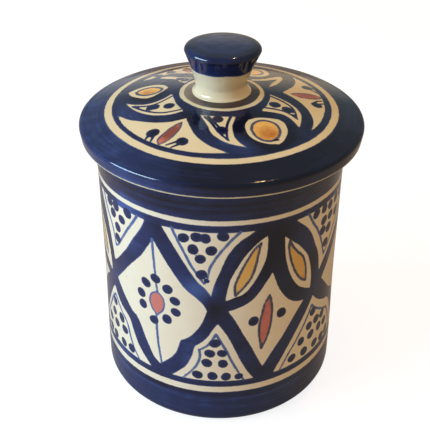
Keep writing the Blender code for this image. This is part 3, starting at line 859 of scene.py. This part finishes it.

# The blue grows thicker towards the top, and it is thin in the middle there. At the front left of the edge,
# on the window's side, it is set thinner as painted window light.
BLUE_EDGE = 155.4
blue = knob_height - BLUE_EDGE - waver(knob_angle, 0.5, 2.4)
none = np.full(len(knob_angle), -FAR)
knob_load_and_light = 0.5 + 0.25 * np.clip((knob_radius - 13) / 3, -1, 0) + 0.2 * (blue / 8).clip(0, 1)
knob_load_and_light -= 0.15 * np.exp(-(((knob_angle + 0.9) / 0.7) ** 2) - ((knob_radius - 15) / 2) ** 2)
keep(knob, way=knob_way, cobalt=blue.clip(-FAR, FAR), load=knob_load_and_light, wheel=np.full(len(knob_angle), 0.4),
     clay=none, **{paint: none for paint in PAINTS})
knob.data.materials.append(painted_glaze("painted_tin_glaze_knob", "#dedcc9", "#d0c8ac"))
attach(knob, "lid")
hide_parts("lid_knob")

# The pot stands on a wide sheet of matt grey card, which keeps its shadow. A glow that only the camera sees,
# and the glaze a little, makes it white without more light on the pot.
CARD_REACH = 12.0
SEEN_GLOW, MIRRORED_GLOW = 0.86, 0.1
card_mesh = bpy.data.meshes.new("card")
card_mesh.from_pydata([(x * CARD_REACH, y * CARD_REACH, 0) for x, y in ((-1, -1), (1, -1), (1, 1), (-1, 1))],
                      [], [(0, 1, 2, 3)])
card = bpy.data.objects.new("card", card_mesh)
bpy.context.scene.collection.objects.link(card)

# Pressed card: dull and even, so that nothing shows on it but the soft shadow
matt_card = bpy.data.materials.new("matt_pressed_card")
matt_card.use_nodes = True
tree = matt_card.node_tree
shader = tree.nodes["Principled BSDF"]
shader.inputs["Base Color"].default_value = linear("#8f8f8f")
shader.inputs["Roughness"].default_value = 0.9
shader.inputs["Specular IOR Level"].default_value = 0.1
seen = add(tree, "LightPath").outputs
lift = add(tree, "Math", {0: seen["Is Glossy Ray"], 1: seen["Is Transmission Ray"]}, operation="MAXIMUM")
lift = add(tree, "Math", {0: lift.outputs[0], 1: MIRRORED_GLOW}, operation="MULTIPLY").outputs[0]
lift = add(tree, "Math", {0: seen["Is Camera Ray"], 1: SEEN_GLOW, 2: lift}, operation="MULTIPLY_ADD")
glow = add(tree, "Emission", {"Strength": lift.outputs[0], "Color": linear("#f8fbff")})
both = add(tree, "AddShader", {0: shader.outputs[0], 1: glow.outputs[0]})
tree.links.new(both.outputs[0], tree.nodes["Material Output"].inputs["Surface"])
card_mesh.materials.append(matt_card)

# Light: a warm room all round, cool daylight from a window on the left, and a small warm lamp high at the
# back on the right. The glaze mirrors a room that is dim in front and bright at the back, where it is warm on
# the right, and the camera sees the room pale.
DIM, BRIGHT = 0.38, 1.15
AIM = 0.08  # height of the pot's middle, in metres
world = bpy.data.worlds.new("pale_room")
bpy.context.scene.world = world
world.use_nodes = True
tree = world.node_tree
room = tree.nodes["Background"]
room.inputs["Color"].default_value = linear("#ffcf98")
room.inputs["Strength"].default_value = 0.73
toward = add(tree, "SeparateXYZ", {0: add(tree, "TexCoord").outputs["Generated"]})
behind = add(tree, "MapRange", {"Value": toward.outputs[1], "From Min": 0.92}).outputs[0]
right = add(tree, "MapRange", {"Value": toward.outputs[0], "From Min": -0.15, "From Max": 0.15}).outputs[0]
hue = add(tree, "Mix", {0: right, 6: linear("#efebe6"), 7: linear("#ecd2ac")}, data_type="RGBA").outputs[2]
hue = add(tree, "Mix", {0: behind, 6: linear("#c4d6da"), 7: hue}, data_type="RGBA").outputs[2]
bright = add(tree, "MapRange", {"Value": behind, "To Min": DIM, "To Max": BRIGHT}).outputs[0]
backdrop = add(tree, "Background", {"Color": hue, "Strength": bright}).outputs[0]
seen = add(tree, "LightPath").outputs
mirrored = add(tree, "MixShader", {0: seen["Is Glossy Ray"], 1: room.outputs[0], 2: backdrop}).outputs[0]
pale = add(tree, "Background", {"Color": linear("#f4f6f8"), "Strength": 1.0}).outputs[0]
viewed = add(tree, "MixShader", {0: seen["Is Camera Ray"], 1: mirrored, 2: pale}).outputs[0]
tree.links.new(viewed, tree.nodes["World Output"].inputs["Surface"])


def soft_box(name, azimuth, elevation, away, size, power, colour):
    """A rectangular lamp that faces the pot's middle, from an azimuth, an elevation and a distance."""
    lamp = bpy.data.lights.new(name, "AREA")
    lamp.shape = "RECTANGLE"
    lamp.size, lamp.size_y = size
    lamp.energy = power
    lamp.color = linear(colour)[:3]
    rig = bpy.data.objects.new(name, lamp)
    bpy.context.scene.collection.objects.link(rig)
    a, e = math.radians(azimuth), math.radians(elevation)
    out = np.array([math.sin(a) * math.cos(e), -math.cos(a) * math.cos(e), math.sin(e)])
    rig.location = out * away + (0, 0, AIM)
    rig.rotation_euler = (math.radians(90 - elevation), 0, a)


soft_box("window", -70, 22, 1.3, (0.9, 0.4), 19.4, "#cfeeff")
soft_box("warm_lamp", 144.5, 70.2, 1.3, (0.075, 0.02), 2.7, "#ffce92")

# The camera looks down at the pot from the front, from about 0.4 m away, as the photograph was taken
VIEW_FROM = (-0.00227, -0.30993, 0.28157)
VIEW_DOWN, VIEW_ROLL = math.radians(33.0395), math.radians(0.2179)
forward = np.array([0, math.cos(VIEW_DOWN), -math.sin(VIEW_DOWN)])
right = np.array([1.0, 0, 0])
up = np.cross(right, forward)
across = math.cos(VIEW_ROLL) * right + math.sin(VIEW_ROLL) * up
upward = -math.sin(VIEW_ROLL) * right + math.cos(VIEW_ROLL) * up
lens = bpy.data.cameras.new("camera")
lens.sensor_width = 36
lens.lens = 65.265
lens.clip_start, lens.clip_end = 0.01, 50
camera = bpy.data.objects.new("camera", lens)
bpy.context.scene.collection.objects.link(camera)
seat_of_camera = np.eye(4)
seat_of_camera[:3, 0], seat_of_camera[:3, 1], seat_of_camera[:3, 2] = across, upward, -forward
seat_of_camera[:3, 3] = VIEW_FROM
camera.matrix_world = Matrix(seat_of_camera.tolist())
bpy.context.scene.camera = camera
bpy.context.scene.view_settings.view_transform = "Standard"
